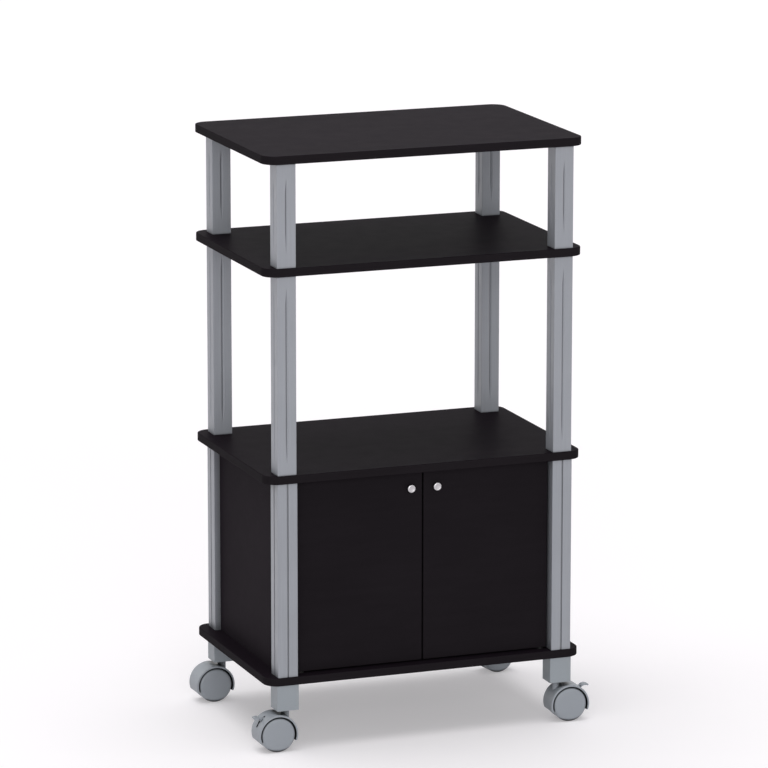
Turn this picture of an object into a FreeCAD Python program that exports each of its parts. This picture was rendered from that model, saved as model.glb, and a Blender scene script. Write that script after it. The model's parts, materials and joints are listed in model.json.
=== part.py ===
import FreeCAD, Part
import math
import os
from FreeCAD import Vector

os.makedirs("parts", exist_ok=True)

# A microwave stand on casters: four boards on square posts in three tiers, a cabinet with two
# hinged doors in the lowest tier, and a twin-wheel caster under each corner.
# Millimetres, +Z up, front towards -Y. The origin is on the floor under the boards' centre.

# ---- driving dimensions ----------------------------------------------------------------

# Boards
stand_width = 600.0
stand_depth = 400.0
board_thickness = 15.0
board_corner_radius = 26.0
board_edge_radius = 1.5

# Posts
post_side = 35.0               # open posts
cabinet_post_side = 37.0       # the same bore in a thicker wall
post_wall = 3.0                # of an open post
post_corner_radius = 1.0
post_inset_end = 21.5          # from a board's end to the post's outer face
post_inset_front = 3.0
post_inset_rear = 17.0
lower_post_length = 351.0
middle_post_length = 355.0
upper_post_length = 183.0

# Grooves in the posts' faces
panel_groove_width = 3.0       # cabinet posts: a square groove over the whole length
panel_groove_depth = 1.5
vee_groove_width = 6.0         # open posts: a shallow vee that runs out before both ends
vee_groove_depth = 1.8
vee_groove_runout = 28.0
middle_groove_margin = 19.0    # plain length at each end of a middle post
upper_groove_margin = 24.0

# Foot blocks
foot_width = 40.4
foot_depth = 36.0
foot_height = 46.4
foot_corner_radius = 1.0

# Connectors that join the posts through the boards
plug_fit = 0.2                 # plug to post wall, each side
plug_length = 32.0
plug_lead = 1.5                # chamfer that leads a plug into its post
foot_plug_length = 8.0
connector_bore_radius = 4.0
neck_radius = 10.0
neck_fit = 0.1

# Screws that hold the top plugs to the top shelf
plug_screw_radius = 2.2
plug_screw_grip = 14.0         # plug material under the board that the screw passes
plug_screw_bite = 11.0         # length in the board
plug_screw_head_radius = 4.0
plug_screw_head_height = 2.6
screw_fit = 0.05
screw_head_room = 0.3

# Cabinet panels
side_panel_thickness = 15.0
back_panel_thickness = 2.6
tongue_thickness = 2.6
tongue_gap = 0.3               # tongue's edge to the groove's floor

# Doors
door_thickness = 15.0
door_recess = 17.0             # door's front face behind the front posts' front faces
door_side_gap = 3.0
door_centre_gap = 3.0
door_end_gap = 3.0             # above and below the doors
door_edge_radius = 1.0

# Door pivots
pin_radius = 3.0
pin_inset = 10.0               # pin axis from the door's outer edge
pin_length_in_door = 25.0
pin_length_in_bush = 8.0
press_fit = 0.02
running_fit = 0.05
bush_wall = 2.0
bush_floor = 1.2
bush_flange_radius = 6.5
bush_flange_gap = 0.1          # flange to the door's end face

# Knobs
knob_head_radius = 7.5
knob_foot_radius = 4.0
knob_waist_radius = 3.2
knob_length = 10.5
knob_head_length = 5.0
knob_rounding = 2.1
knob_dish_depth = 0.6
knob_from_inner_edge = 23.15
knob_from_top_edge = 27.25
knob_screw_radius = 2.0
knob_screw_bite = 7.0
knob_screw_head_radius = 4.2
knob_screw_head_height = 2.2

# Magnetic catches
catch_width = 24.0
catch_depth = 14.0
catch_height = 20.0
catch_from_centre = 40.0
catch_gap = 0.4                # catch face to the strike's face
catch_edge_radius = 1.5
peg_radius = 2.5
peg_length = 9.0
peg_spacing = 13.0
strike_radius = 6.0
strike_thickness = 1.5
strike_drop = 12.0             # strike's centre under the microwave shelf
strike_shank_radius = 2.0
strike_shank_length = 10.0

# Casters
wheel_radius = 31.8
wheel_edge_radius = 5.8
wheel_face_wall = 2.6
wheel_rim_wall = 4.5
wheel_hub_radius = 7.0
wheel_side_gap = 0.5           # wheel to the hood's middle wall
caster_width = 44.0
caster_trail = 19.0            # stem axis to axle
hood_gap = 1.7                 # wheel tread to hood
hood_wall = 3.0
hood_web = 12.0                # middle wall between the two wheels
hood_drop = 11.8               # hood's lower edge below the axle
hood_edge_radius = 1.0
boss_radius = 7.5
boss_rise = 5.2                # boss top above the hood's top
axle_radius = 3.0
axle_end_gap = 0.4
spindle_radius = 3.5
spindle_length = 30.0
snap_ring_height = 0.3         # ring on axle and spindle that snaps into a groove around it
snap_ring_width = 1.2
snap_ring_gap = 0.1
snap_ring_from_end = 3.0
collar_radius = 7.0
collar_thickness = 1.0
collar_gap = 0.1
stem_radius = 5.5
stem_length = 28.0
stem_tip_chamfer = 1.5
socket_wall = 2.5
socket_floor = 2.0

# Brake levers of the front casters; angles are about the axle, from the trail upwards
lever_thickness = 4.0
lever_slot_width = 5.0
lever_slot_low_angle = 3.0
lever_slot_high_angle = 75.0
lever_pivot_depth = 12.5       # pivot inside the hood's outer face
lever_pivot_angle = 42.0
lever_pin_radius = 2.0
lever_pin_length = 10.0
lever_heel_radius = 5.0
lever_travel = 12.0            # degrees from released to pressed
lever_room_gap = 0.5
paddle_angle = 45.0            # where the paddle's underside leaves the hood
paddle_gap = 0.8               # paddle to the hood's outer face
paddle_length = 13.0
paddle_width = 12.0
paddle_thickness = 3.2
paddle_rise = 2.0              # paddle's tip above its root
paddle_arch = 2.0
brake_bar_radius = 2.0
brake_bar_length = 26.0
brake_bar_angle = 66.0
brake_gap = 2.3                # released bar to the inside of the wheels' rims
brake_link_radius = 3.0

# Where each caster has swivelled to: its trail's bearing from +X, in degrees
caster_bearing = {
    "front_left": 180.0,
    "front_right": -2.0,
    "rear_left": 181.0,
    "rear_right": 8.0,
}
braked_casters = ("front_left", "front_right")

# Geometry tolerance for finding edges, smaller than any dimension above
same_place = 1e-6

# ---- places worked out from the dimensions ---------------------------------------------

half_post = post_side / 2
half_cabinet_post = cabinet_post_side / 2
post_bore = post_side - 2 * post_wall
post_x = stand_width / 2 - post_inset_end - half_post
front_post_y = -stand_depth / 2 + post_inset_front + half_post
rear_post_y = stand_depth / 2 - post_inset_rear - half_post
inner_post_x = post_x - half_cabinet_post
corners = {
    "front_left": (-post_x, front_post_y),
    "front_right": (post_x, front_post_y),
    "rear_left": (-post_x, rear_post_y),
    "rear_right": (post_x, rear_post_y),
}

hood_radius = wheel_radius + hood_gap + hood_wall
boss_top = wheel_radius + hood_radius + boss_rise
foot_bottom = boss_top + collar_thickness
base_underside = foot_bottom + foot_height
base_top = base_underside + board_thickness
microwave_underside = base_top + lower_post_length
microwave_top = microwave_underside + board_thickness
upper_underside = microwave_top + middle_post_length
upper_top = upper_underside + board_thickness
top_underside = upper_top + upper_post_length

plug_side = post_bore - 2 * plug_fit
tongue_length = panel_groove_depth - tongue_gap
socket_radius = stem_radius + socket_wall
socket_length = stem_length + socket_floor
bush_radius = pin_radius + running_fit + bush_wall
bush_depth = pin_length_in_bush + bush_floor

door_front = front_post_y - half_cabinet_post + door_recess
door_back = door_front + door_thickness
door_middle_y = door_front + door_thickness / 2
door_outer_x = inner_post_x - door_side_gap
door_inner_x = door_centre_gap / 2
door_bottom = base_top + door_end_gap
door_top = microwave_underside - door_end_gap
pin_x = door_outer_x - pin_inset
knob_x = door_inner_x + knob_from_inner_edge
knob_z = door_top - knob_from_top_edge
strike_z = microwave_underside - strike_drop
catch_front = door_back + strike_thickness + catch_gap
catch_middle_y = catch_front + catch_depth / 2

# Each caster is drawn with its stem on the Z axis and its trail along +X, then placed.
half_caster = caster_width / 2
half_web = hood_web / 2
wheel_inner_y = half_web + wheel_side_gap
wheel_face_inside = half_caster - wheel_face_wall
axle_reach = wheel_face_inside - axle_end_gap
spindle_end = boss_top - spindle_length


def around_axle(distance, degrees):
    """A point of the caster's middle plane, given from the axle."""
    angle = math.radians(degrees)
    return Vector(caster_trail + distance * math.cos(angle), 0, wheel_radius + distance * math.sin(angle))


lever_pivot = around_axle(hood_radius - lever_pivot_depth, lever_pivot_angle)
paddle_root = around_axle(hood_radius + paddle_gap, paddle_angle)
brake_bar_distance = wheel_radius - wheel_rim_wall - brake_gap - brake_bar_radius
released_bar = around_axle(brake_bar_distance, brake_bar_angle)
press = FreeCAD.Rotation(Vector(0, 1, 0), lever_travel)
pressed_bar = lever_pivot + press.multVec(released_bar - lever_pivot)


# ---- shape helpers ---------------------------------------------------------------------

def box(x0, x1, y0, y1, z0, z1):
    return Part.makeBox(x1 - x0, y1 - y0, z1 - z0, Vector(x0, y0, z0))


def bar(width, depth, z0, z1):
    return box(-width / 2, width / 2, -depth / 2, depth / 2, z0, z1)


def square_bar(side, z0, z1):
    return bar(side, side, z0, z1)


def upright_rod(radius, x, y, z0, z1):
    return Part.makeCylinder(radius, z1 - z0, Vector(x, y, z0))


def cross_rod(radius, x, z, y0, y1):
    return Part.makeCylinder(radius, y1 - y0, Vector(x, y0, z), Vector(0, 1, 0))


def side_plate(points, width):
    """A flat plate from its outline in the side view, centred on the middle plane."""
    outline = [Vector(point.x, -width / 2, point.z) for point in points]
    return Part.Face(Part.makePolygon(outline + outline[:1])).extrude(Vector(0, width, 0))


def side_link(start, end, radius, width):
    """A plate with round ends between two points of the side view."""
    across = (end - start).cross(Vector(0, 1, 0)).normalize() * radius
    web = side_plate([start + across, end + across, end - across, start - across], width)
    ends = [cross_rod(radius, point.x, point.z, -width / 2, width / 2) for point in (start, end)]
    return web.fuse(ends)


def runs_along(edge, direction):
    span = edge.Vertexes[-1].Point - edge.Vertexes[0].Point
    return span.Length > same_place and span.cross(direction).Length < same_place


def upright_edges(shape):
    return [edge for edge in shape.Edges if runs_along(edge, Vector(0, 0, 1))]


def edges_at_height(shape, z):
    bounds = [(edge, edge.BoundBox) for edge in shape.Edges]
    return [edge for edge, span in bounds if max(abs(span.ZMin - z), abs(span.ZMax - z)) < same_place]


def rounded_bar(width, depth, radius, z0, z1):
    block = bar(width, depth, z0, z1)
    return block.makeFillet(radius, upright_edges(block))


def moved(shape, x, y):
    copy = shape.copy()
    copy.translate(Vector(x, y, 0))
    return copy


def turned(shape, degrees):
    copy = shape.copy()
    copy.rotate(Vector(0, 0, 0), Vector(0, 0, 1), degrees)
    return copy


def mirrored(shape):
    return shape.mirror(Vector(0, 0, 0), Vector(1, 0, 0))


def at_corners(shape):
    return [moved(shape, x, y) for x, y in corners.values()]


def save(name, *solids):
    shape = solids[0] if len(solids) == 1 else Part.makeCompound(list(solids))
    shape.exportStep(f"parts/{name}.step")
    print(f"{name:28s} solids {len(shape.Solids)} volume {shape.Volume:11.1f} mm3 valid {shape.isValid()}")


# ---- boards ----------------------------------------------------------------------------

def plain_board(z):
    x, y = stand_width / 2, stand_depth / 2
    plate = box(-x, x, -y, y, z, z + board_thickness)
    plate = plate.makeFillet(board_corner_radius, upright_edges(plate))
    rims = edges_at_height(plate, z) + edges_at_height(plate, z + board_thickness)
    return plate.makeFillet(board_edge_radius, rims)


def neck_holes(z):
    return at_corners(upright_rod(neck_radius + neck_fit, 0, 0, z, z + board_thickness))


def bush_holes(z0, z1):
    return [upright_rod(bush_radius, side * pin_x, door_middle_y, z0, z1) for side in (-1, 1)]


def catch_pegs(radius, sides):
    top = microwave_underside + peg_length
    steps = (-peg_spacing / 2, peg_spacing / 2)
    places = [side * catch_from_centre + step for side in sides for step in steps]
    return [upright_rod(radius, x, catch_middle_y, microwave_underside, top) for x in places]


def base_shelf():
    board = plain_board(base_underside)
    return board.cut(neck_holes(base_underside) + bush_holes(base_top - bush_depth, base_top))


def microwave_shelf():
    holes = neck_holes(microwave_underside)
    holes += bush_holes(microwave_underside, microwave_underside + bush_depth)
    holes += catch_pegs(peg_radius + press_fit, (-1, 1))
    return plain_board(microwave_underside).cut(holes)


def upper_shelf():
    return plain_board(upper_underside).cut(neck_holes(upper_underside))


def top_shelf():
    pilot_end = top_underside + plug_screw_bite + screw_fit
    pilot = upright_rod(plug_screw_radius + screw_fit, 0, 0, top_underside, pilot_end)
    return plain_board(top_underside).cut(at_corners(pilot))


# ---- posts, feet and what joins them ---------------------------------------------------

def tube(side, z0, z1):
    outside = rounded_bar(side, side, post_corner_radius, z0, z1)
    return outside.cut(square_bar(post_bore, z0, z1))


def on_four_faces(tool):
    return [turned(tool, quarter * 90) for quarter in range(4)]


def panel_groove(z0, z1):
    half = panel_groove_width / 2
    return box(-half, half, half_cabinet_post - panel_groove_depth, half_cabinet_post, z0, z1)


def vee_groove(z0, z1):
    """The long keel that a vee groove takes out: full depth between its run-outs."""
    face = half_post
    half = vee_groove_width / 2
    keel = face - vee_groove_depth
    z2, z3 = z0 + vee_groove_runout, z1 - vee_groove_runout
    tip_low, tip_high = Vector(0, face, z0), Vector(0, face, z1)
    keel_low, keel_high = Vector(0, keel, z2), Vector(0, keel, z3)
    left_low, left_high = Vector(-half, face, z2), Vector(-half, face, z3)
    right_low, right_high = Vector(half, face, z2), Vector(half, face, z3)
    outlines = [
        [tip_low, left_low, left_high, tip_high, right_high, right_low],
        [left_low, keel_low, keel_high, left_high],
        [right_low, right_high, keel_high, keel_low],
        [tip_low, keel_low, left_low],
        [tip_low, right_low, keel_low],
        [tip_high, left_high, keel_high],
        [tip_high, keel_high, right_high],
    ]
    faces = [Part.Face(Part.makePolygon(points + points[:1])) for points in outlines]
    return Part.Solid(Part.makeShell(faces))


def cabinet_post(z0, z1):
    return tube(cabinet_post_side, z0, z1).cut(on_four_faces(panel_groove(z0, z1)))


def open_post(z0, z1, margin):
    return tube(post_side, z0, z1).cut(on_four_faces(vee_groove(z0 + margin, z1 - margin)))


def plug(z0, z1, lead_at):
    block = square_bar(plug_side, z0, z1)
    return block.makeChamfer(plug_lead, edges_at_height(block, lead_at))


def connector(z, length_below, length_above):
    """Plug, neck and plug in one piece, with a bore from end to end; z is the board's underside."""
    bottom = z - length_below
    top = z + board_thickness + length_above
    lower = plug(bottom, z, bottom)
    upper = plug(z + board_thickness, top, top)
    neck = upright_rod(neck_radius, 0, 0, z, z + board_thickness)
    bore = upright_rod(connector_bore_radius, 0, 0, bottom, top)
    return lower.fuse([neck, upper]).cut(bore).removeSplitter()


def top_plug():
    bottom = top_underside - plug_length
    seat = top_underside - plug_screw_grip
    well = upright_rod(plug_screw_head_radius + screw_head_room, 0, 0, bottom, seat)
    hole = upright_rod(plug_screw_radius + screw_fit, 0, 0, seat, top_underside)
    return plug(bottom, top_underside, bottom).cut([well, hole])


def top_plug_screw():
    seat = top_underside - plug_screw_grip
    head = upright_rod(plug_screw_head_radius, 0, 0, seat - plug_screw_head_height, seat)
    return head.fuse(upright_rod(plug_screw_radius, 0, 0, seat, top_underside + plug_screw_bite))


def foot_block():
    block = rounded_bar(foot_width, foot_depth, foot_corner_radius, foot_bottom, base_underside)
    pocket = square_bar(post_bore, base_underside - foot_plug_length, base_underside)
    socket_hole = upright_rod(socket_radius + press_fit, 0, 0, foot_bottom, foot_bottom + socket_length)
    return block.cut([pocket, socket_hole])


# ---- cabinet; what comes in pairs is drawn for the right-hand side ----------------------

def side_panel():
    """A panel with a tongue on each upright edge for the posts' grooves."""
    half = side_panel_thickness / 2
    y0, y1 = front_post_y + half_cabinet_post, rear_post_y - half_cabinet_post
    panel = box(post_x - half, post_x + half, y0, y1, base_top, microwave_underside)
    half = tongue_thickness / 2
    y0, y1 = y0 - tongue_length, y1 + tongue_length
    tongue = box(post_x - half, post_x + half, y0, y1, base_top, microwave_underside)
    return panel.fuse(tongue).removeSplitter()


def back_panel():
    reach = inner_post_x + tongue_length
    half = back_panel_thickness / 2
    return box(-reach, reach, rear_post_y - half, rear_post_y + half, base_top, microwave_underside)


def door():
    """A leaf with its holes for the pins, the knob's screw and the strike."""
    leaf = box(door_inner_x, door_outer_x, door_front, door_back, door_bottom, door_top)
    leaf = leaf.makeFillet(door_edge_radius, leaf.Edges)
    radius = pin_radius + press_fit
    shank_end = door_back - strike_shank_length
    holes = [
        upright_rod(radius, pin_x, door_middle_y, door_bottom, door_bottom + pin_length_in_door),
        upright_rod(radius, pin_x, door_middle_y, door_top - pin_length_in_door, door_top),
        cross_rod(knob_screw_radius + screw_fit, knob_x, knob_z, door_front, door_back),
        cross_rod(strike_shank_radius + press_fit, catch_from_centre, strike_z, shank_end, door_back),
    ]
    return leaf.cut(holes)


def hinge_pins():
    lower_end = base_top - pin_length_in_bush
    upper_end = microwave_underside + pin_length_in_bush
    lower = upright_rod(pin_radius, pin_x, door_middle_y, lower_end, door_bottom + pin_length_in_door)
    upper = upright_rod(pin_radius, pin_x, door_middle_y, door_top - pin_length_in_door, upper_end)
    return [lower, upper]


def lower_bush():
    """A closed sleeve in the base shelf, with the flange that the door turns on."""
    flange_top = door_bottom - bush_flange_gap
    sleeve = upright_rod(bush_radius - press_fit, pin_x, door_middle_y, base_top - bush_depth, base_top)
    flange = upright_rod(bush_flange_radius, pin_x, door_middle_y, base_top, flange_top)
    bore_radius = pin_radius + running_fit
    bore = upright_rod(bore_radius, pin_x, door_middle_y, base_top - pin_length_in_bush, flange_top)
    return sleeve.fuse(flange).cut(bore)


def upper_bush():
    """The same bush upside down, in the microwave shelf's underside."""
    middle = (base_top + microwave_underside) / 2
    return lower_bush().mirror(Vector(0, 0, middle), Vector(0, 0, 1))


def knob():
    """A turned knob: foot, waist and a rounded head with a shallow dish in its face."""
    step = knob_foot_radius - knob_waist_radius
    head_base = knob_length - knob_head_length
    shoulder = knob_length - knob_rounding
    face_radius = knob_head_radius - knob_rounding
    inside = knob_rounding * math.sqrt(0.5)
    profile = [
        Vector(knob_head_radius, 0, shoulder),
        Vector(knob_head_radius, 0, head_base + knob_rounding),
        Vector(knob_waist_radius, 0, head_base),
        Vector(knob_waist_radius, 0, 2 * step),
        Vector(knob_foot_radius, 0, step),
        Vector(knob_foot_radius, 0, 0),
        Vector(0, 0, 0),
        Vector(0, 0, knob_length),
        Vector(face_radius, 0, knob_length),
    ]
    outline = [Part.LineSegment(a, b).toShape() for a, b in zip(profile, profile[1:])]
    rounded = Vector(face_radius + inside, 0, shoulder + inside)
    outline.append(Part.Arc(profile[-1], rounded, profile[0]).toShape())
    turning = Part.Face(Part.Wire(outline)).revolve(Vector(0, 0, 0), Vector(0, 0, 1), 360)
    dish_radius = (face_radius**2 + knob_dish_depth**2) / (2 * knob_dish_depth)
    dish = Part.makeSphere(dish_radius, Vector(0, 0, knob_length - knob_dish_depth + dish_radius))
    hole = upright_rod(knob_screw_radius + screw_fit, 0, 0, 0, knob_screw_bite + screw_fit)
    turning = turning.cut([dish, hole])
    turning.rotate(Vector(0, 0, 0), Vector(1, 0, 0), 90)
    turning.translate(Vector(knob_x, door_front, knob_z))
    return turning


def knob_screw():
    head = cross_rod(knob_screw_head_radius, knob_x, knob_z, door_back, door_back + knob_screw_head_height)
    return head.fuse(cross_rod(knob_screw_radius, knob_x, knob_z, door_front - knob_screw_bite, door_back))


def strike():
    disc = cross_rod(strike_radius, catch_from_centre, strike_z, door_back, door_back + strike_thickness)
    shank_end = door_back - strike_shank_length
    return disc.fuse(cross_rod(strike_shank_radius, catch_from_centre, strike_z, shank_end, door_back))


def catch():
    """A magnet housing with two pegs pressed into the shelf above."""
    x0, x1 = catch_from_centre - catch_width / 2, catch_from_centre + catch_width / 2
    bottom = microwave_underside - catch_height
    body = box(x0, x1, catch_front, catch_front + catch_depth, bottom, microwave_underside)
    body = body.makeFillet(catch_edge_radius, upright_edges(body) + edges_at_height(body, bottom))
    return body.fuse(catch_pegs(peg_radius, (1,)))


# ---- casters ---------------------------------------------------------------------------

def axle_rod(radius, y0, y1):
    return cross_rod(radius, caster_trail, wheel_radius, y0, y1)


def ring_span(end, gap):
    """The stretch of a snap ring below the end of its rod, widened by a gap on both sides."""
    far = end - snap_ring_from_end
    return far - snap_ring_width - gap, far + gap


def hood(braked):
    drum = axle_rod(hood_radius, -half_caster, half_caster)
    drum = drum.makeFillet(hood_edge_radius, [edge for edge in drum.Edges if edge.Closed])
    boss = upright_rod(boss_radius, 0, 0, wheel_radius, boss_top)
    lower_edge = wheel_radius - hood_drop
    reach = caster_trail + 2 * hood_radius
    room = hood_radius - hood_wall
    ring_end, ring_start = ring_span(-spindle_end, snap_ring_gap)
    ring_groove_radius = spindle_radius + running_fit + snap_ring_height
    cuts = [
        box(-reach, reach, -caster_width, caster_width, -hood_radius, lower_edge),
        axle_rod(room, -half_caster, -half_web),
        axle_rod(room, half_web, half_caster),
        axle_rod(axle_radius + press_fit, -half_web, half_web),
        upright_rod(spindle_radius + running_fit, 0, 0, spindle_end - axle_end_gap, boss_top),
        upright_rod(ring_groove_radius, 0, 0, -ring_start, -ring_end),
    ]
    shape = drum.fuse(boss).cut(cuts)
    if braked:
        shape = shape.cut(lever_room())
    return shape.removeSplitter()


def lever_room():
    """What is cut from the hood's middle wall for the lever, its pin and its brake bar."""
    swing = (released_bar - lever_pivot).Length + brake_link_radius + lever_room_gap
    half = lever_slot_width / 2
    outside = 2 * hood_radius
    slot_edges = [around_axle(outside, angle) for angle in (lever_slot_low_angle, lever_slot_high_angle)]
    pin_end = lever_pin_length / 2 + lever_room_gap
    return [
        cross_rod(swing, lever_pivot.x, lever_pivot.z, -half, half),
        side_plate([lever_pivot] + slot_edges, lever_slot_width),
        cross_rod(lever_pin_radius + running_fit, lever_pivot.x, lever_pivot.z, -pin_end, pin_end),
        side_link(released_bar, pressed_bar, brake_bar_radius + lever_room_gap, hood_web),
    ]


def lever_arm():
    heel = Vector(lever_heel_radius, 0, 0)
    top = paddle_root + Vector(0, 0, paddle_thickness)
    along = Vector(paddle_thickness, 0, 0)
    return side_plate(
        [lever_pivot - heel, top - 2 * along, top + along, paddle_root + along, lever_pivot + heel],
        lever_thickness,
    )


def paddle():
    """The foot plate: slightly arched, rising to a round nose."""
    down = Vector(0, 0, -paddle_thickness)
    root = paddle_root + Vector(0, -paddle_width / 2, paddle_thickness)
    tip = root + Vector(paddle_length, 0, paddle_rise)
    middle = (root + tip) / 2 + Vector(0, 0, paddle_arch)
    nose = tip + Vector(paddle_thickness / 2, 0, 0) + down / 2
    outline = [
        Part.Arc(root, middle, tip).toShape(),
        Part.Arc(tip, nose, tip + down).toShape(),
        Part.Arc(tip + down, middle + down, root + down).toShape(),
        Part.LineSegment(root + down, root).toShape(),
    ]
    return Part.Face(Part.Wire(outline)).extrude(Vector(0, paddle_width, 0))


def lever():
    """Heel on its pin, paddle outside the hood, and a bar that presses on both wheels' rims."""
    half = lever_thickness / 2
    half_pin = lever_pin_length / 2
    half_bar = brake_bar_length / 2
    heel = cross_rod(lever_heel_radius, lever_pivot.x, lever_pivot.z, -half, half)
    pieces = [
        lever_arm(),
        paddle(),
        side_link(lever_pivot, released_bar, brake_link_radius, lever_thickness),
        cross_rod(lever_pin_radius, lever_pivot.x, lever_pivot.z, -half_pin, half_pin),
        cross_rod(brake_bar_radius, released_bar.x, released_bar.z, -half_bar, half_bar),
    ]
    return heel.fuse(pieces).removeSplitter()


def axle():
    rings = []
    for side in (-1, 1):
        inner, outer = ring_span(axle_reach, 0)
        ends = sorted((side * inner, side * outer))
        rings.append(axle_rod(axle_radius + snap_ring_height, *ends))
    return axle_rod(axle_radius, -axle_reach, axle_reach).fuse(rings)


def wheel():
    """The wheel on the +Y side: a cup with a closed face, a rim and a hub with a blind bore."""
    disc = axle_rod(wheel_radius, wheel_inner_y, half_caster)
    face_rim = [edge for edge in disc.Edges if edge.Closed and edge.BoundBox.YMin > half_caster - same_place]
    disc = disc.makeFillet(wheel_edge_radius, face_rim)
    room = axle_rod(wheel_radius - wheel_rim_wall, wheel_inner_y, wheel_face_inside)
    hub = axle_rod(wheel_hub_radius, wheel_inner_y, wheel_face_inside)
    bore = axle_rod(axle_radius + running_fit, wheel_inner_y, wheel_face_inside)
    inner, outer = ring_span(axle_reach, snap_ring_gap)
    ring_groove = axle_rod(axle_radius + running_fit + snap_ring_height, inner, outer)
    return disc.cut(room).fuse(hub).cut([bore, ring_groove]).removeSplitter()


def caster_stem():
    """Spindle for the hood, a collar under the foot and the shank that sits in the socket."""
    spindle = upright_rod(spindle_radius, 0, 0, spindle_end, foot_bottom)
    ring_end, ring_start = ring_span(-spindle_end, 0)
    ring = upright_rod(spindle_radius + snap_ring_height, 0, 0, -ring_start, -ring_end)
    collar = upright_rod(collar_radius, 0, 0, boss_top + collar_gap, foot_bottom)
    shank = upright_rod(stem_radius, 0, 0, foot_bottom, foot_bottom + stem_length)
    shank = shank.makeChamfer(stem_tip_chamfer, edges_at_height(shank, foot_bottom + stem_length))
    return spindle.fuse([ring, collar, shank]).removeSplitter()


def stem_socket():
    sleeve = upright_rod(socket_radius, 0, 0, foot_bottom, foot_bottom + socket_length)
    return sleeve.cut(upright_rod(stem_radius + press_fit, 0, 0, foot_bottom, foot_bottom + stem_length))


def placed(shape, corner):
    return moved(turned(shape, caster_bearing[corner]), *corners[corner])


# ---- write the parts -------------------------------------------------------------------

save("base_shelf", base_shelf())
save("microwave_shelf", microwave_shelf())
save("upper_shelf", upper_shelf())
save("top_shelf", top_shelf())

lower_post = cabinet_post(base_top, microwave_underside)
middle_post = open_post(microwave_top, upper_underside, middle_groove_margin)
upper_post = open_post(upper_top, top_underside, upper_groove_margin)
for corner, place in corners.items():
    save(f"lower_post_{corner}", moved(lower_post, *place))
    save(f"middle_post_{corner}", moved(middle_post, *place))
    save(f"upper_post_{corner}", moved(upper_post, *place))
    save(f"foot_block_{corner}", moved(foot_block(), *place))

save("base_connectors", *at_corners(connector(base_underside, foot_plug_length, plug_length)))
save("microwave_shelf_connectors", *at_corners(connector(microwave_underside, plug_length, plug_length)))
save("upper_shelf_connectors", *at_corners(connector(upper_underside, plug_length, plug_length)))
save("top_plugs", *at_corners(top_plug()))
save("top_plug_screws", *at_corners(top_plug_screw()))
save("stem_sockets", *at_corners(stem_socket()))
save("caster_stems", *at_corners(caster_stem()))

save("left_side_panel", mirrored(side_panel()))
save("right_side_panel", side_panel())
save("back_panel", back_panel())
save("left_door", mirrored(door()))
save("right_door", door())
save("left_knob", mirrored(knob()))
save("right_knob", knob())
save("left_knob_screw", mirrored(knob_screw()))
save("right_knob_screw", knob_screw())
save("left_hinge_pins", *[mirrored(pin) for pin in hinge_pins()])
save("right_hinge_pins", *hinge_pins())
save("hinge_bushes", lower_bush(), upper_bush(), mirrored(lower_bush()), mirrored(upper_bush()))
save("left_strike", mirrored(strike()))
save("right_strike", strike())
save("door_catches", catch(), mirrored(catch()))

wheel_a = wheel()
wheel_b = wheel_a.mirror(Vector(0, 0, 0), Vector(0, 1, 0))
for corner in corners:
    save(f"caster_hood_{corner}", placed(hood(corner in braked_casters), corner))
    save(f"caster_axle_{corner}", placed(axle(), corner))
    save(f"caster_wheel_a_{corner}", placed(wheel_a, corner))
    save(f"caster_wheel_b_{corner}", placed(wheel_b, corner))
for corner in braked_casters:
    save(f"brake_lever_{corner}", placed(lever(), corner))
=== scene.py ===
import json
import math
import bmesh
import bpy
from mathutils import Matrix, Vector

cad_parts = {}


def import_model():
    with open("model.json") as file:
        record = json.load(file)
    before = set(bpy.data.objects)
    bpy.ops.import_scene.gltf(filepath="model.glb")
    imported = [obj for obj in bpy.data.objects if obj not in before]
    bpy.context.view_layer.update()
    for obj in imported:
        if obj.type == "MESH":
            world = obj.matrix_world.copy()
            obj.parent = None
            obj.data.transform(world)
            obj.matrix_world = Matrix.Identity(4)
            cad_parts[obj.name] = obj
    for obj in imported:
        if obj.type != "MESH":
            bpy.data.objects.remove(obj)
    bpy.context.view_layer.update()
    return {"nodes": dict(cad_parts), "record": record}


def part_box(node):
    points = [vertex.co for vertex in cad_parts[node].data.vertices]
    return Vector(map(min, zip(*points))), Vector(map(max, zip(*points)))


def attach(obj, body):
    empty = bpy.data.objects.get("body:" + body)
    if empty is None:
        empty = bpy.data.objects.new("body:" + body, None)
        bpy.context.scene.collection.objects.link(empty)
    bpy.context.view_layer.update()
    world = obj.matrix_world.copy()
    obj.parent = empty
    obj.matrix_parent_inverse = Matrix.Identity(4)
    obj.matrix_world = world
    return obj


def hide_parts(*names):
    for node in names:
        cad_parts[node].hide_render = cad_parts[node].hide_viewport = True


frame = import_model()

# A microwave stand: black melamine boards on silver-grey plastic posts, a cabinet with two doors,
# and light grey casters. Metres, in the frame's own axes: +Z up, front towards -Y.
# The CAD nodes get their materials here. The only new pieces are small steel ones in the cabinet.

# ---- colours (linear) ------------------------------------------------------------------

BOARD_BLACK = (0.0116, 0.0084, 0.0117)
EDGE_BLACK = (0.0158, 0.0134, 0.0157)
PANEL_BLACK = (0.0204, 0.0165, 0.0204)
DOOR_BLACK = (0.0150, 0.0126, 0.0150)
FIBREBOARD_BLACK = (0.014, 0.013, 0.014)
POST_SILVER = (0.345, 0.36, 0.395)
FOOT_SILVER = (0.328, 0.359, 0.390)
CASTER_GREY = (0.338, 0.364, 0.400)
INNER_PLASTIC = (0.03, 0.03, 0.032)
ACETAL_BLACK = (0.012, 0.012, 0.012)
STEEL = (0.55, 0.55, 0.56)
KNOB_METAL = (0.47, 0.456, 0.47)
WHITE = (1.0, 1.0, 1.0, 1.0)

# ---- noises: scale per metre, detail, roughness, and the axes' stretch --------------------

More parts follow.
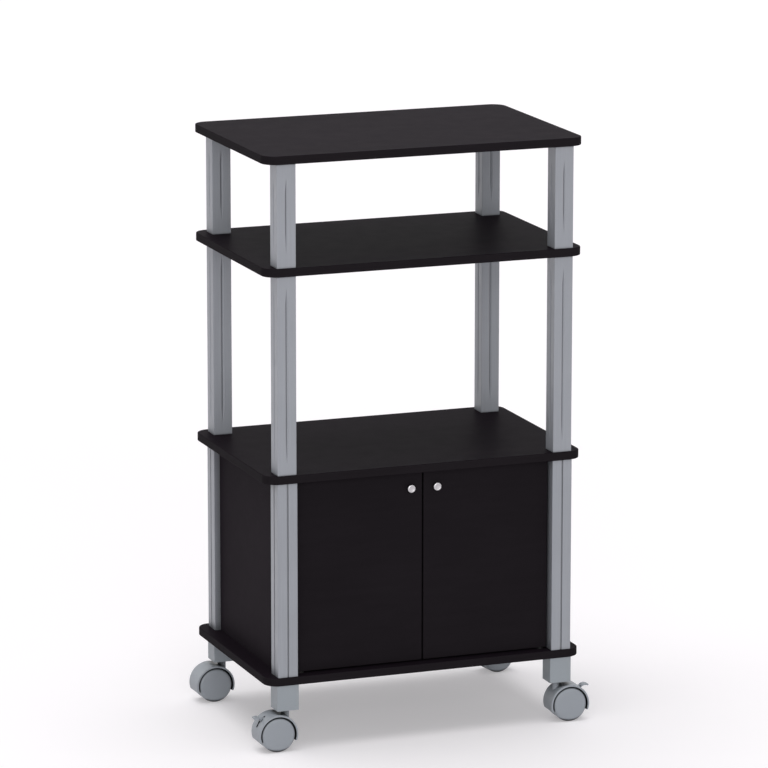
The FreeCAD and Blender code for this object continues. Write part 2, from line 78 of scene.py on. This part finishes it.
BOARD_CLOUD = (7.0, 4.0)
BOARD_GRAIN = (90.0, 5.0, 0.6, (0.12, 1.0, 1.0))
BOARD_PORE = (1500.0, 2.0)
BOARD_WAVE = (60.0, 2.0)
BOARD_SHEEN = (30.0, 4.0)
PLASTIC_FLAKE = (2600.0, 2.0)
PLASTIC_CLOUD = (11.0, 3.0)
PLASTIC_SKIN = (1800.0, 3.0)
PLASTIC_GLOSS = (40.0, 4.0)
DRAW_STREAK = (700.0, 2.0, 0.5, (1.0, 1.0, 0.01))
FIBRE = (420.0, 6.0, 0.7, (0.35, 1.0, 1.0))
KNOB_CLOUD = (300.0, 3.0)
STEEL_CLOUD = (240.0, 4.0)
FLOOR_SPECK = (9.0, 4.0)
NOISE_MIDDLE = (0.3, 0.7)      # the range that most of a noise's values lie in

# ---- how far the shade and the roughness vary, each way -----------------------------------

BOARD_VARIATION = 0.05
FLAKE_VARIATION = 0.04
PLASTIC_VARIATION = 0.03
KNOB_VARIATION = 0.05
SHEEN_VARIATION = 0.015
GLOSS_VARIATION = 0.05
FIBRE_SHADES = (0.8, 1.25)
STEEL_SHADES = (0.85, 1.1)
SPECK_SHADES = (0.995, 1.0)

# ---- roughness and specular level ----------------------------------------------------------

BOARD_ROUGHNESS = 0.5
BOARD_SPECULAR = 0.0058        # next to none, because glossy rays see white surroundings
PLASTIC_ROUGHNESS = 0.42
PLASTIC_SPECULAR = 0.4
BUSH_ROUGHNESS = 0.35
CATCH_ROUGHNESS = 0.5
FIBREBOARD_ROUGHNESS = 0.75
FIBREBOARD_SPECULAR = 0.12
KNOB_ROUGHNESS = (0.24, 0.34)
STEEL_ROUGHNESS = (0.28, 0.42)

# ---- full heights of the bumps (metres) ----------------------------------------------------

PORE_DEPTH = 0.00003
WAVE_DEPTH = 0.00002
SKIN_DEPTH = 0.00002
STREAK_DEPTH = 0.00003
FIBRE_DEPTH = 0.00012
RING_DEPTH = 0.000004
PLATING_DEPTH = 0.00001

# ---- the knobs' face, in shares of the knob's width ----------------------------------------

RING_PHASE = 260.0             # radians of the rings' sine in one width
# a painted highlight: the rim's colour is brighter from RIM_START to RIM_FULL
RIM_START = 0.33
RIM_FULL = 0.40
RIM_PAINTED_HIGHLIGHT = 1.15

# ---- painted shade in slots and gaps: its reach, its shade, and the openness where it is full and where it ends ------

POST_PAINTED_SHADE = (0.004, 0.35, 0.5, 0.9)
CABINET_POST_PAINTED_SHADE = (0.020, 0.30, 0.35, 1.0)
FOOT_PAINTED_SHADE = (0.006, 0.5, 0.3, 0.9)
CASTER_PAINTED_SHADE = (0.012, 0.03, 0.4, 0.85)
PAINTED_SHADE_SAMPLES = 8

# ---- the edge band: how level a surface is where the face's colour starts and is full ------

FACE_START = 0.5               # the size of the normal's Z
FACE_FULL = 0.75

# ---- places of the open posts and their vee grooves (metres) -------------------------------

POST_X = 0.261
POSTS_MIDDLE_Y = -0.007        # halfway between the front posts and the rear posts
POSTS_HALF_Y = 0.1725
# painted shade: a dark line along each open post's vee groove
KEEL_CORE = 0.0005             # half width of the painted shade at the bottom of a vee groove
KEEL_EDGE = 0.0014             # half width out to where the shade ends
KEEL_SHIFT = 0.0010            # the dark line lies on the wall that faces away from the light
KEEL_PAINTED_SHADE = 0.55
MIDDLE_KEEL = (0.518, 0.561, 0.808, 0.838)     # heights: start, full, full, end
UPPER_KEEL = (0.912, 0.936, 1.010, 1.032)

# ---- small steel pieces in the cabinet (metres) --------------------------------------------

TURNED_STEPS = 48
SHARP_ANGLE = 32.0             # degrees between two faces
SCREW_PROFILE = (              # radius, and distance along +Y from the top of the head
    (0, -0.0242), (0.0013, -0.0242), (0.0020, -0.0234), (0.0020, -0.0022), (0.0042, -0.0022),
    (0.0042, -0.0016), (0.0039, -0.0008), (0.0032, -0.0003), (0.0022, -0.00005), (0, 0),
)
STRIKE_PROFILE = (
    (0, -0.0115), (0.0015, -0.0115), (0.0020, -0.0108), (0.0020, -0.0015), (0.0056, -0.0015),
    (0.0060, -0.0011), (0.0060, -0.0004), (0.0056, 0), (0.0033, 0), (0.0032, -0.0004),
    (0.0030, -0.0004), (0.0029, -0.00005), (0, 0),
)
SCREW_CROSS = (0.0022, 0.0008, 0.0013)         # reach, width and depth of the cross recess
STRIKE_CROSS = (0.0018, 0.0007, 0.0010)
CROSS_TAPER = 0.6              # the recess's bottom as a share of its top
POLE_SIZE = (0.0025, 0.0012, 0.0150)
POLE_PROUD = 0.0002            # plates in front of the catch's face
POLE_OFFSET = 0.0065           # each plate's middle from the catch's middle
POLE_BEVEL = 0.0003

# ---- camera ----------------------------------------------------------------------------

CAMERA_PLACE = (-3.1107, -8.1816, 2.5301)
CAMERA_YAW = -20.786
CAMERA_PITCH = 12.399
CAMERA_ROLL = 0.028
FOCAL_LENGTH = 4974.75         # in pixels of a square picture
PICTURE_SIDE = 768
SENSOR_WIDTH = 36.0
CLIP_END = 200.0

# ---- floor and light: directions that the light travels in, and spreads in degrees ---------

FLOOR_SIZE = 120.0
FLOOR_ALBEDO = (0.785, 0.765, 0.785)
FLOOR_GLOW = (1.0, 0.98, 1.0, 1.0)
FLOOR_LIFT = 0.31              # emission that the camera sees, so that the lit floor is white
WORLD_LIGHT = 0.31             # the world's strength for the rays that light the scene
TOP_LIGHT = ((0.08, -0.05, -1.0), 1.6, 54.0)   # direction, strength and spread
FRONT_LIGHT = ((0.27, 1.0, -0.18), 1.3, 50.0)
BACK_LIGHT = ((0.1, -1.0, -0.5), 0.2, 80.0)

MIX_FACTOR, MIX_A, MIX_B, MIX_RESULT = 0, 6, 7, 2      # sockets of a Mix node for colours


# ---- node helpers ----------------------------------------------------------------------

class Nodes:
    """The node tree of a material or a world, with short calls for the kinds of node used here."""

    def __init__(self, owner, output):
        owner.use_nodes = True
        self.owner = owner
        self.tree = owner.node_tree
        self.tree.nodes.clear()
        self.output = self.tree.nodes.new(output)

    def add(self, kind, links=None, **settings):
        node = self.tree.nodes.new(kind)
        for key, value in settings.items():
            setattr(node, key, value)
        for socket, value in (links or {}).items():
            self.put(node, socket, value)
        return node

    def put(self, node, socket, value):
        if isinstance(value, bpy.types.NodeSocket):
            self.tree.links.new(value, node.inputs[socket])
        else:
            node.inputs[socket].default_value = value

    def surface(self, shader):
        """Puts the shader on the surface, and returns the material or world."""
        self.put(self.output, "Surface", shader)
        return self.owner

    def calc(self, operation, a, b=0.0):
        return self.add("ShaderNodeMath", {0: a, 1: b}, operation=operation).outputs["Value"]

    def plus(self, a, b):
        return self.calc("ADD", a, b)

    def minus(self, a, b):
        return self.calc("SUBTRACT", a, b)

    def times(self, a, b):
        return self.calc("MULTIPLY", a, b)

    def absolute(self, value):
        return self.calc("ABSOLUTE", value)

    def place(self, stretch=(1.0, 1.0, 1.0), source="Object", offset=(0.0, 0.0, 0.0)):
        coordinates = self.add("ShaderNodeTexCoord").outputs[source]
        links = {"Vector": coordinates, "Scale": stretch, "Location": offset}
        return self.add("ShaderNodeMapping", links).outputs["Vector"]

    def noise(self, scale, detail, roughness=0.5, stretch=(1.0, 1.0, 1.0)):
        where = self.place(stretch)
        links = {"Vector": where, "Scale": scale, "Detail": detail, "Roughness": roughness}
        return self.add("ShaderNodeTexNoise", links).outputs["Fac"]

    def spread(self, value, low, high, start=NOISE_MIDDLE[0], end=NOISE_MIDDLE[1]):
        """Maps start..end, a noise's usual middle range, to low..high."""
        links = {"Value": value, "From Min": start, "From Max": end, "To Min": low, "To Max": high}
        return self.add("ShaderNodeMapRange", links).outputs["Result"]

    def vary(self, noise, amount, middle=1.0):
        """The middle value, more or less the amount."""
        return self.spread(self.noise(*noise), middle - amount, middle + amount)

    def tinted(self, colour, shade):
        """The colour times a varying shade."""
        links = {0: colour, "Scale": shade}
        return self.add("ShaderNodeVectorMath", links, operation="SCALE").outputs["Vector"]

    def openness(self, reach, low, shut, clear):
        """Painted shade: 1 on open surfaces, falling to low in slots and gaps narrower than about the
        reach.
        """
        links = {"Distance": reach, "Color": WHITE}
        seen = self.add("ShaderNodeAmbientOcclusion", links, samples=PAINTED_SHADE_SAMPLES).outputs["AO"]
        return self.spread(seen, low, 1.0, shut, clear)

    def keel(self, heights):
        """Painted shade: 1 on a post's faces, darker along the middle line between the ends of its vee
        groove.
        """
        x, y, z = self.add("ShaderNodeSeparateXYZ", {"Vector": self.place()}).outputs
        line_x = self.minus(self.times(self.calc("SIGN", x), POST_X), KEEL_SHIFT)
        across_x = self.absolute(self.minus(x, line_x))
        across_y = self.absolute(self.minus(self.absolute(self.minus(y, POSTS_MIDDLE_Y)), POSTS_HALF_Y))
        start, deep, shallow, end = heights
        opening = self.spread(z, 0.0, 1.0, start, deep)
        closing = self.spread(z, 1.0, 0.0, shallow, end)
        away = self.minus(KEEL_EDGE, self.times(self.times(opening, closing), KEEL_EDGE))
        across = self.plus(self.calc("MINIMUM", across_x, across_y), away)
        return self.spread(across, KEEL_PAINTED_SHADE, 1.0, KEEL_CORE, KEEL_EDGE)

    def banded(self, edge, face):
        """The edge's colour on upright surfaces, the face's colour on level ones."""
        normal = self.place(source="Normal")
        up = self.add("ShaderNodeSeparateXYZ", {"Vector": normal}).outputs["Z"]
        level = self.spread(self.absolute(up), 0.0, 1.0, FACE_START, FACE_FULL)
        links = {MIX_FACTOR: level, MIX_A: (*edge, 1.0), MIX_B: (*face, 1.0)}
        return self.add("ShaderNodeMix", links, data_type="RGBA").outputs[MIX_RESULT]

    def bump(self, height, depth, under=None):
        """A bump whose full height is depth metres, on the normal of the one under it."""
        links = {"Height": height, "Distance": depth, "Strength": 1.0}
        if under is not None:
            links["Normal"] = under
        return self.add("ShaderNodeBump", links).outputs["Normal"]

    def principled(self, **links):
        names = {key.replace("_", " "): value for key, value in links.items()}
        return self.surface(self.add("ShaderNodeBsdfPrincipled", names).outputs["BSDF"])

    def seen_by_camera(self):
        """1 for camera, glossy and transmission rays, 0 for the rays that light the scene."""
        path = self.add("ShaderNodeLightPath").outputs
        seen = self.plus(path["Is Camera Ray"], path["Is Glossy Ray"])
        return self.calc("MINIMUM", self.plus(seen, path["Is Transmission Ray"]), 1.0)


def material_nodes(name):
    return Nodes(bpy.data.materials.new(name), "ShaderNodeOutputMaterial")


# ---- materials -------------------------------------------------------------------------

def melamine(name, colour, edge=None):
    """Melamine paper pressed with a fine pore, a little cloudy; edge is the edge band's colour."""
    nodes = material_nodes(name)
    shade = nodes.times(nodes.vary(BOARD_CLOUD, BOARD_VARIATION), nodes.vary(BOARD_GRAIN, BOARD_VARIATION))
    wave = nodes.bump(nodes.noise(*BOARD_WAVE), WAVE_DEPTH)
    if edge:
        colour = nodes.banded(edge, colour)
    return nodes.principled(
        Base_Color=nodes.tinted(colour, shade),
        Roughness=nodes.vary(BOARD_SHEEN, SHEEN_VARIATION, BOARD_ROUGHNESS),
        Specular_IOR_Level=BOARD_SPECULAR,
        Normal=nodes.bump(nodes.noise(*BOARD_PORE), PORE_DEPTH, wave),
    )


def moulded(name, colour, roughness=PLASTIC_ROUGHNESS, drawn=False, painted_shade=None, keel=None):
    """Silver-pigmented plastic: tiny flakes, a spark-eroded skin, on posts faint draw marks, and painted
    shade in gaps and grooves when given.
    """
    nodes = material_nodes(name)
    flake = nodes.vary(PLASTIC_FLAKE, FLAKE_VARIATION)
    shade = nodes.times(flake, nodes.vary(PLASTIC_CLOUD, PLASTIC_VARIATION))
    relief = nodes.bump(nodes.noise(*PLASTIC_SKIN), SKIN_DEPTH)
    if painted_shade:
        shade = nodes.times(shade, nodes.openness(*painted_shade))
    if keel:
        shade = nodes.times(shade, nodes.keel(keel))
    if drawn:
        streak = nodes.noise(*DRAW_STREAK)
        marks = nodes.spread(streak, 1.0 - PLASTIC_VARIATION, 1.0 + PLASTIC_VARIATION)
        shade = nodes.times(shade, marks)
        relief = nodes.bump(streak, STREAK_DEPTH, relief)
    return nodes.principled(
        Base_Color=nodes.tinted(colour, shade),
        Roughness=nodes.vary(PLASTIC_GLOSS, GLOSS_VARIATION, roughness),
        Specular_IOR_Level=PLASTIC_SPECULAR,
        Normal=relief,
    )


def fibreboard(name, colour):
    nodes = material_nodes(name)
    fibre = nodes.noise(*FIBRE)
    return nodes.principled(
        Base_Color=nodes.tinted(colour, nodes.spread(fibre, *FIBRE_SHADES)),
        Roughness=FIBREBOARD_ROUGHNESS,
        Specular_IOR_Level=FIBREBOARD_SPECULAR,
        Normal=nodes.bump(fibre, FIBRE_DEPTH),
    )


def turned_metal(name, colour):
    """Satin turned metal: fine rings about the knob's own axis, and a brighter rim, a painted highlight.

    Generated coordinates run from 0 to 1 over the knob, so the axis, along Y, is at 0.5.
    """
    nodes = material_nodes(name)
    centred = nodes.place((1.0, 0.0, 1.0), "Generated", (-0.5, 0.0, -0.5))
    radius = nodes.add("ShaderNodeVectorMath", {0: centred}, operation="LENGTH").outputs["Value"]
    rings = nodes.calc("SINE", nodes.times(radius, RING_PHASE))
    cloud = nodes.noise(*KNOB_CLOUD)
    patches = nodes.spread(cloud, 1.0 - KNOB_VARIATION, 1.0 + KNOB_VARIATION)
    shade = nodes.times(patches, nodes.spread(radius, 1.0, RIM_PAINTED_HIGHLIGHT, RIM_START, RIM_FULL))
    return nodes.principled(
        Base_Color=nodes.tinted(colour, shade),
        Metallic=1.0,
        Roughness=nodes.spread(cloud, *KNOB_ROUGHNESS),
        Normal=nodes.bump(rings, RING_DEPTH),
    )


def plated_steel(name, colour):
    nodes = material_nodes(name)
    cloud = nodes.noise(*STEEL_CLOUD)
    return nodes.principled(
        Base_Color=nodes.tinted(colour, nodes.spread(cloud, *STEEL_SHADES)),
        Metallic=1.0,
        Roughness=nodes.spread(cloud, *STEEL_ROUGHNESS),
        Normal=nodes.bump(cloud, PLATING_DEPTH),
    )


def open_post(name, keel):
    return moulded(name, POST_SILVER, drawn=True, painted_shade=POST_PAINTED_SHADE, keel=keel)


OPEN_POSTS = {
    "middle_post": open_post("middle_post_plastic", MIDDLE_KEEL),
    "upper_post": open_post("upper_post_plastic", UPPER_KEEL),
}
FINISHES = {
    "black_board": melamine("board_melamine", BOARD_BLACK, EDGE_BLACK),
    "black_panel": melamine("panel_melamine", PANEL_BLACK),
    "black_door": melamine("door_melamine", DOOR_BLACK),
    "black_fibreboard": fibreboard("back_fibreboard", FIBREBOARD_BLACK),
    "silver_post": moulded("post_plastic", POST_SILVER, drawn=True, painted_shade=CABINET_POST_PAINTED_SHADE),
    "silver_foot": moulded("foot_plastic", FOOT_SILVER, painted_shade=FOOT_PAINTED_SHADE),
    "grey_hood": moulded("hood_plastic", CASTER_GREY, painted_shade=CASTER_PAINTED_SHADE),
    "grey_wheel": moulded("wheel_plastic", CASTER_GREY, painted_shade=CASTER_PAINTED_SHADE),
    "grey_lever": moulded("lever_plastic", CASTER_GREY),
    "connector_plastic": moulded("connector_plastic", INNER_PLASTIC),
    "bush_plastic": moulded("bush_acetal", ACETAL_BLACK, BUSH_ROUGHNESS),
    "catch_plastic": moulded("catch_plastic", ACETAL_BLACK, CATCH_ROUGHNESS),
    "steel": plated_steel("plated_steel", STEEL),
    "knob_metal": turned_metal("knob_metal", KNOB_METAL),
}


def finish_nodes():
    """Each node takes its slot's finish. The open posts' finish also has painted shade along the vee
    groove.
    """
    for part in frame["record"]["subparts"]:
        kind = "_".join(part["node"].split("_")[:2])
        finish = OPEN_POSTS.get(kind, FINISHES[part["material_slot"]])
        for slot in frame["nodes"][part["node"]].material_slots:
            slot.material = finish


# ---- objects and meshes ----------------------------------------------------------------

def placed(name, data):
    """A new object in the scene."""
    thing = bpy.data.objects.new(name, data)
    bpy.context.scene.collection.objects.link(thing)
    return thing


def mesh_of(work, name):
    mesh = bpy.data.meshes.new(name)
    work.to_mesh(mesh)
    work.free()
    return mesh


def smooth(mesh):
    """Smooth faces, and sharp edges where two faces meet at more than the sharp angle."""
    work = bmesh.new()
    work.from_mesh(mesh)
    bmesh.ops.recalc_face_normals(work, faces=work.faces)
    for face in work.faces:
        face.smooth = True
    for edge in work.edges:
        edge.smooth = edge.is_manifold and edge.calc_face_angle(0.0) < math.radians(SHARP_ANGLE)
    work.to_mesh(mesh)
    work.free()


# ---- small steel pieces ----------------------------------------------------------------

def turned(name, profile, top):
    """A mesh turned about the Y direction through the top point."""
    work = bmesh.new()
    rings = []
    for radius, along in profile:
        steps = TURNED_STEPS if radius else 1
        angles = [2 * math.pi * i / steps for i in range(steps)]
        ring = [Vector((radius * math.cos(a), along, radius * math.sin(a))) for a in angles]
        rings.append([work.verts.new(top + point) for point in ring])
    for low, high in zip(rings, rings[1:]):
        for i in range(TURNED_STEPS):
            j = i + 1
            corners = [low[i % len(low)], low[j % len(low)], high[j % len(high)], high[i % len(high)]]
            work.faces.new(dict.fromkeys(corners))
    return mesh_of(work, name)


def recess_arm(top, cross, turn):
    """One arm of a cross recess: a bar that narrows to its bottom and stands proud of the top."""
    reach, width, depth = cross
    work = bmesh.new()
    bmesh.ops.create_cube(work, size=2.0)
    for vertex in work.verts:
        x, y, z = vertex.co
        narrow = CROSS_TAPER if y < 0 else 1.0
        place = Vector((x * reach * narrow, depth if y > 0 else -depth, z * width / 2 * narrow))
        vertex.co = top + Matrix.Rotation(turn, 3, "Y") @ place
    bmesh.ops.recalc_face_normals(work, faces=work.faces)
    return placed("recess_arm", mesh_of(work, "recess_arm"))


def cut(piece, tool):
    """Takes the tool's shape out of the piece, and removes the tool."""
    modifier = piece.modifiers.new("recess", "BOOLEAN")
    modifier.operation = "DIFFERENCE"
    modifier.solver = "EXACT"
    modifier.object = tool
    result = piece.evaluated_get(bpy.context.evaluated_depsgraph_get())
    solid = bpy.data.meshes.new_from_object(result)
    piece.modifiers.clear()
    piece.data = solid
    bpy.data.objects.remove(tool)


def fastener(name, node, body, profile, cross):
    """A turned piece with a cross recess in its top, in place of a node."""
    low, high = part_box(node)
    top = Vector(((low[0] + high[0]) / 2, high[1], (low[2] + high[2]) / 2))
    piece = placed(name, turned(name, profile, top))
    smooth(piece.data)
    for turn in (math.pi / 4, -math.pi / 4):
        cut(piece, recess_arm(top, cross, turn))
    smooth(piece.data)
    piece.data.materials.clear()
    piece.data.materials.append(FINISHES["steel"])
    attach(piece, body)
    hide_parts(node)


def pole_plates(side):
    """The two steel plates in the front of a magnetic catch, on the level of the door's strike."""
    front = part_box("door_catches")[0][1] - POLE_PROUD
    low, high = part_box(side + "_strike")
    middle = Vector(((low[0] + high[0]) / 2, front + POLE_SIZE[1] / 2, (low[2] + high[2]) / 2))
    work = bmesh.new()
    for offset in (-POLE_OFFSET, POLE_OFFSET):
        place = Matrix.Translation(middle + Vector((offset, 0, 0))) @ Matrix.Diagonal((*POLE_SIZE, 1.0))
        bmesh.ops.create_cube(work, size=1.0, matrix=place)
    bmesh.ops.bevel(work, geom=work.edges[:], offset=POLE_BEVEL, segments=2, affect="EDGES")
    mesh = mesh_of(work, side + "_catch_poles")
    smooth(mesh)
    mesh.materials.append(FINISHES["steel"])
    piece = placed(side + "_catch_poles", mesh)
    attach(piece, "frame")


# ---- stage -----------------------------------------------------------------------------

def floor():
    """A pale floor that the camera doesn't see from below."""
    nodes = material_nodes("floor_paint")
    speck = nodes.spread(nodes.noise(*FLOOR_SPECK), *SPECK_SHADES)
    paint = nodes.add("ShaderNodeBsdfDiffuse", {"Color": nodes.tinted(FLOOR_ALBEDO, speck)})
    lift = nodes.times(nodes.seen_by_camera(), FLOOR_LIFT)
    glow = nodes.add("ShaderNodeEmission", {"Color": FLOOR_GLOW, "Strength": lift})
    both = nodes.add("ShaderNodeAddShader", {0: paint.outputs["BSDF"], 1: glow.outputs["Emission"]})
    below = nodes.add("ShaderNodeNewGeometry").outputs["Backfacing"]
    from_below = nodes.times(below, nodes.add("ShaderNodeLightPath").outputs["Is Camera Ray"])
    clear = nodes.add("ShaderNodeBsdfTransparent")
    links = {0: from_below, 1: both.outputs["Shader"], 2: clear.outputs["BSDF"]}
    half = FLOOR_SIZE / 2
    corners = [(-half, -half, 0), (half, -half, 0), (half, half, 0), (-half, half, 0)]
    mesh = bpy.data.meshes.new("floor")
    mesh.from_pydata(corners, [], [(0, 1, 2, 3)])
    mesh.materials.append(nodes.surface(nodes.add("ShaderNodeMixShader", links).outputs["Shader"]))
    plane = placed("floor", mesh)


def world():
    """White where it is seen, and dimmer where it lights the scene."""
    nodes = Nodes(bpy.data.worlds.new("studio"), "ShaderNodeOutputWorld")
    strength = nodes.spread(nodes.seen_by_camera(), WORLD_LIGHT, 1.0, 0.0, 1.0)
    background = nodes.add("ShaderNodeBackground", {"Color": WHITE, "Strength": strength})
    bpy.context.scene.world = nodes.surface(background.outputs["Background"])


def softbox(name, direction, strength, spread):
    """Light without falloff that comes along a direction, as from a very large softbox."""
    lamp = bpy.data.lights.new(name, "SUN")
    lamp.energy = strength
    lamp.angle = math.radians(spread)
    placed(name, lamp).rotation_euler = Vector(direction).to_track_quat("-Z", "Y").to_euler()


def camera():
    data = bpy.data.cameras.new("camera")
    data.sensor_width = SENSOR_WIDTH
    data.lens = FOCAL_LENGTH * SENSOR_WIDTH / PICTURE_SIDE
    data.clip_end = CLIP_END
    turn = Matrix.Rotation(math.radians(CAMERA_YAW), 4, "Z")
    tilt = Matrix.Rotation(math.radians(90.0 - CAMERA_PITCH), 4, "X")
    roll = Matrix.Rotation(math.radians(CAMERA_ROLL), 4, "Z")
    viewer = placed("camera", data)
    viewer.matrix_world = Matrix.Translation(CAMERA_PLACE) @ turn @ tilt @ roll
    bpy.context.scene.camera = viewer


finish_nodes()
for side in ("left", "right"):
    door = side + "_door"
    fastener(side + "_pan_head_screw", side + "_knob_screw", door, SCREW_PROFILE, SCREW_CROSS)
    fastener(side + "_strike_disc", side + "_strike", door, STRIKE_PROFILE, STRIKE_CROSS)
for side in ("left", "right"):
    pole_plates(side)
floor()
world()
softbox("top_light", *TOP_LIGHT)
softbox("front_light", *FRONT_LIGHT)
softbox("back_light", *BACK_LIGHT)
camera()
bpy.context.scene.view_settings.view_transform = "Standard"
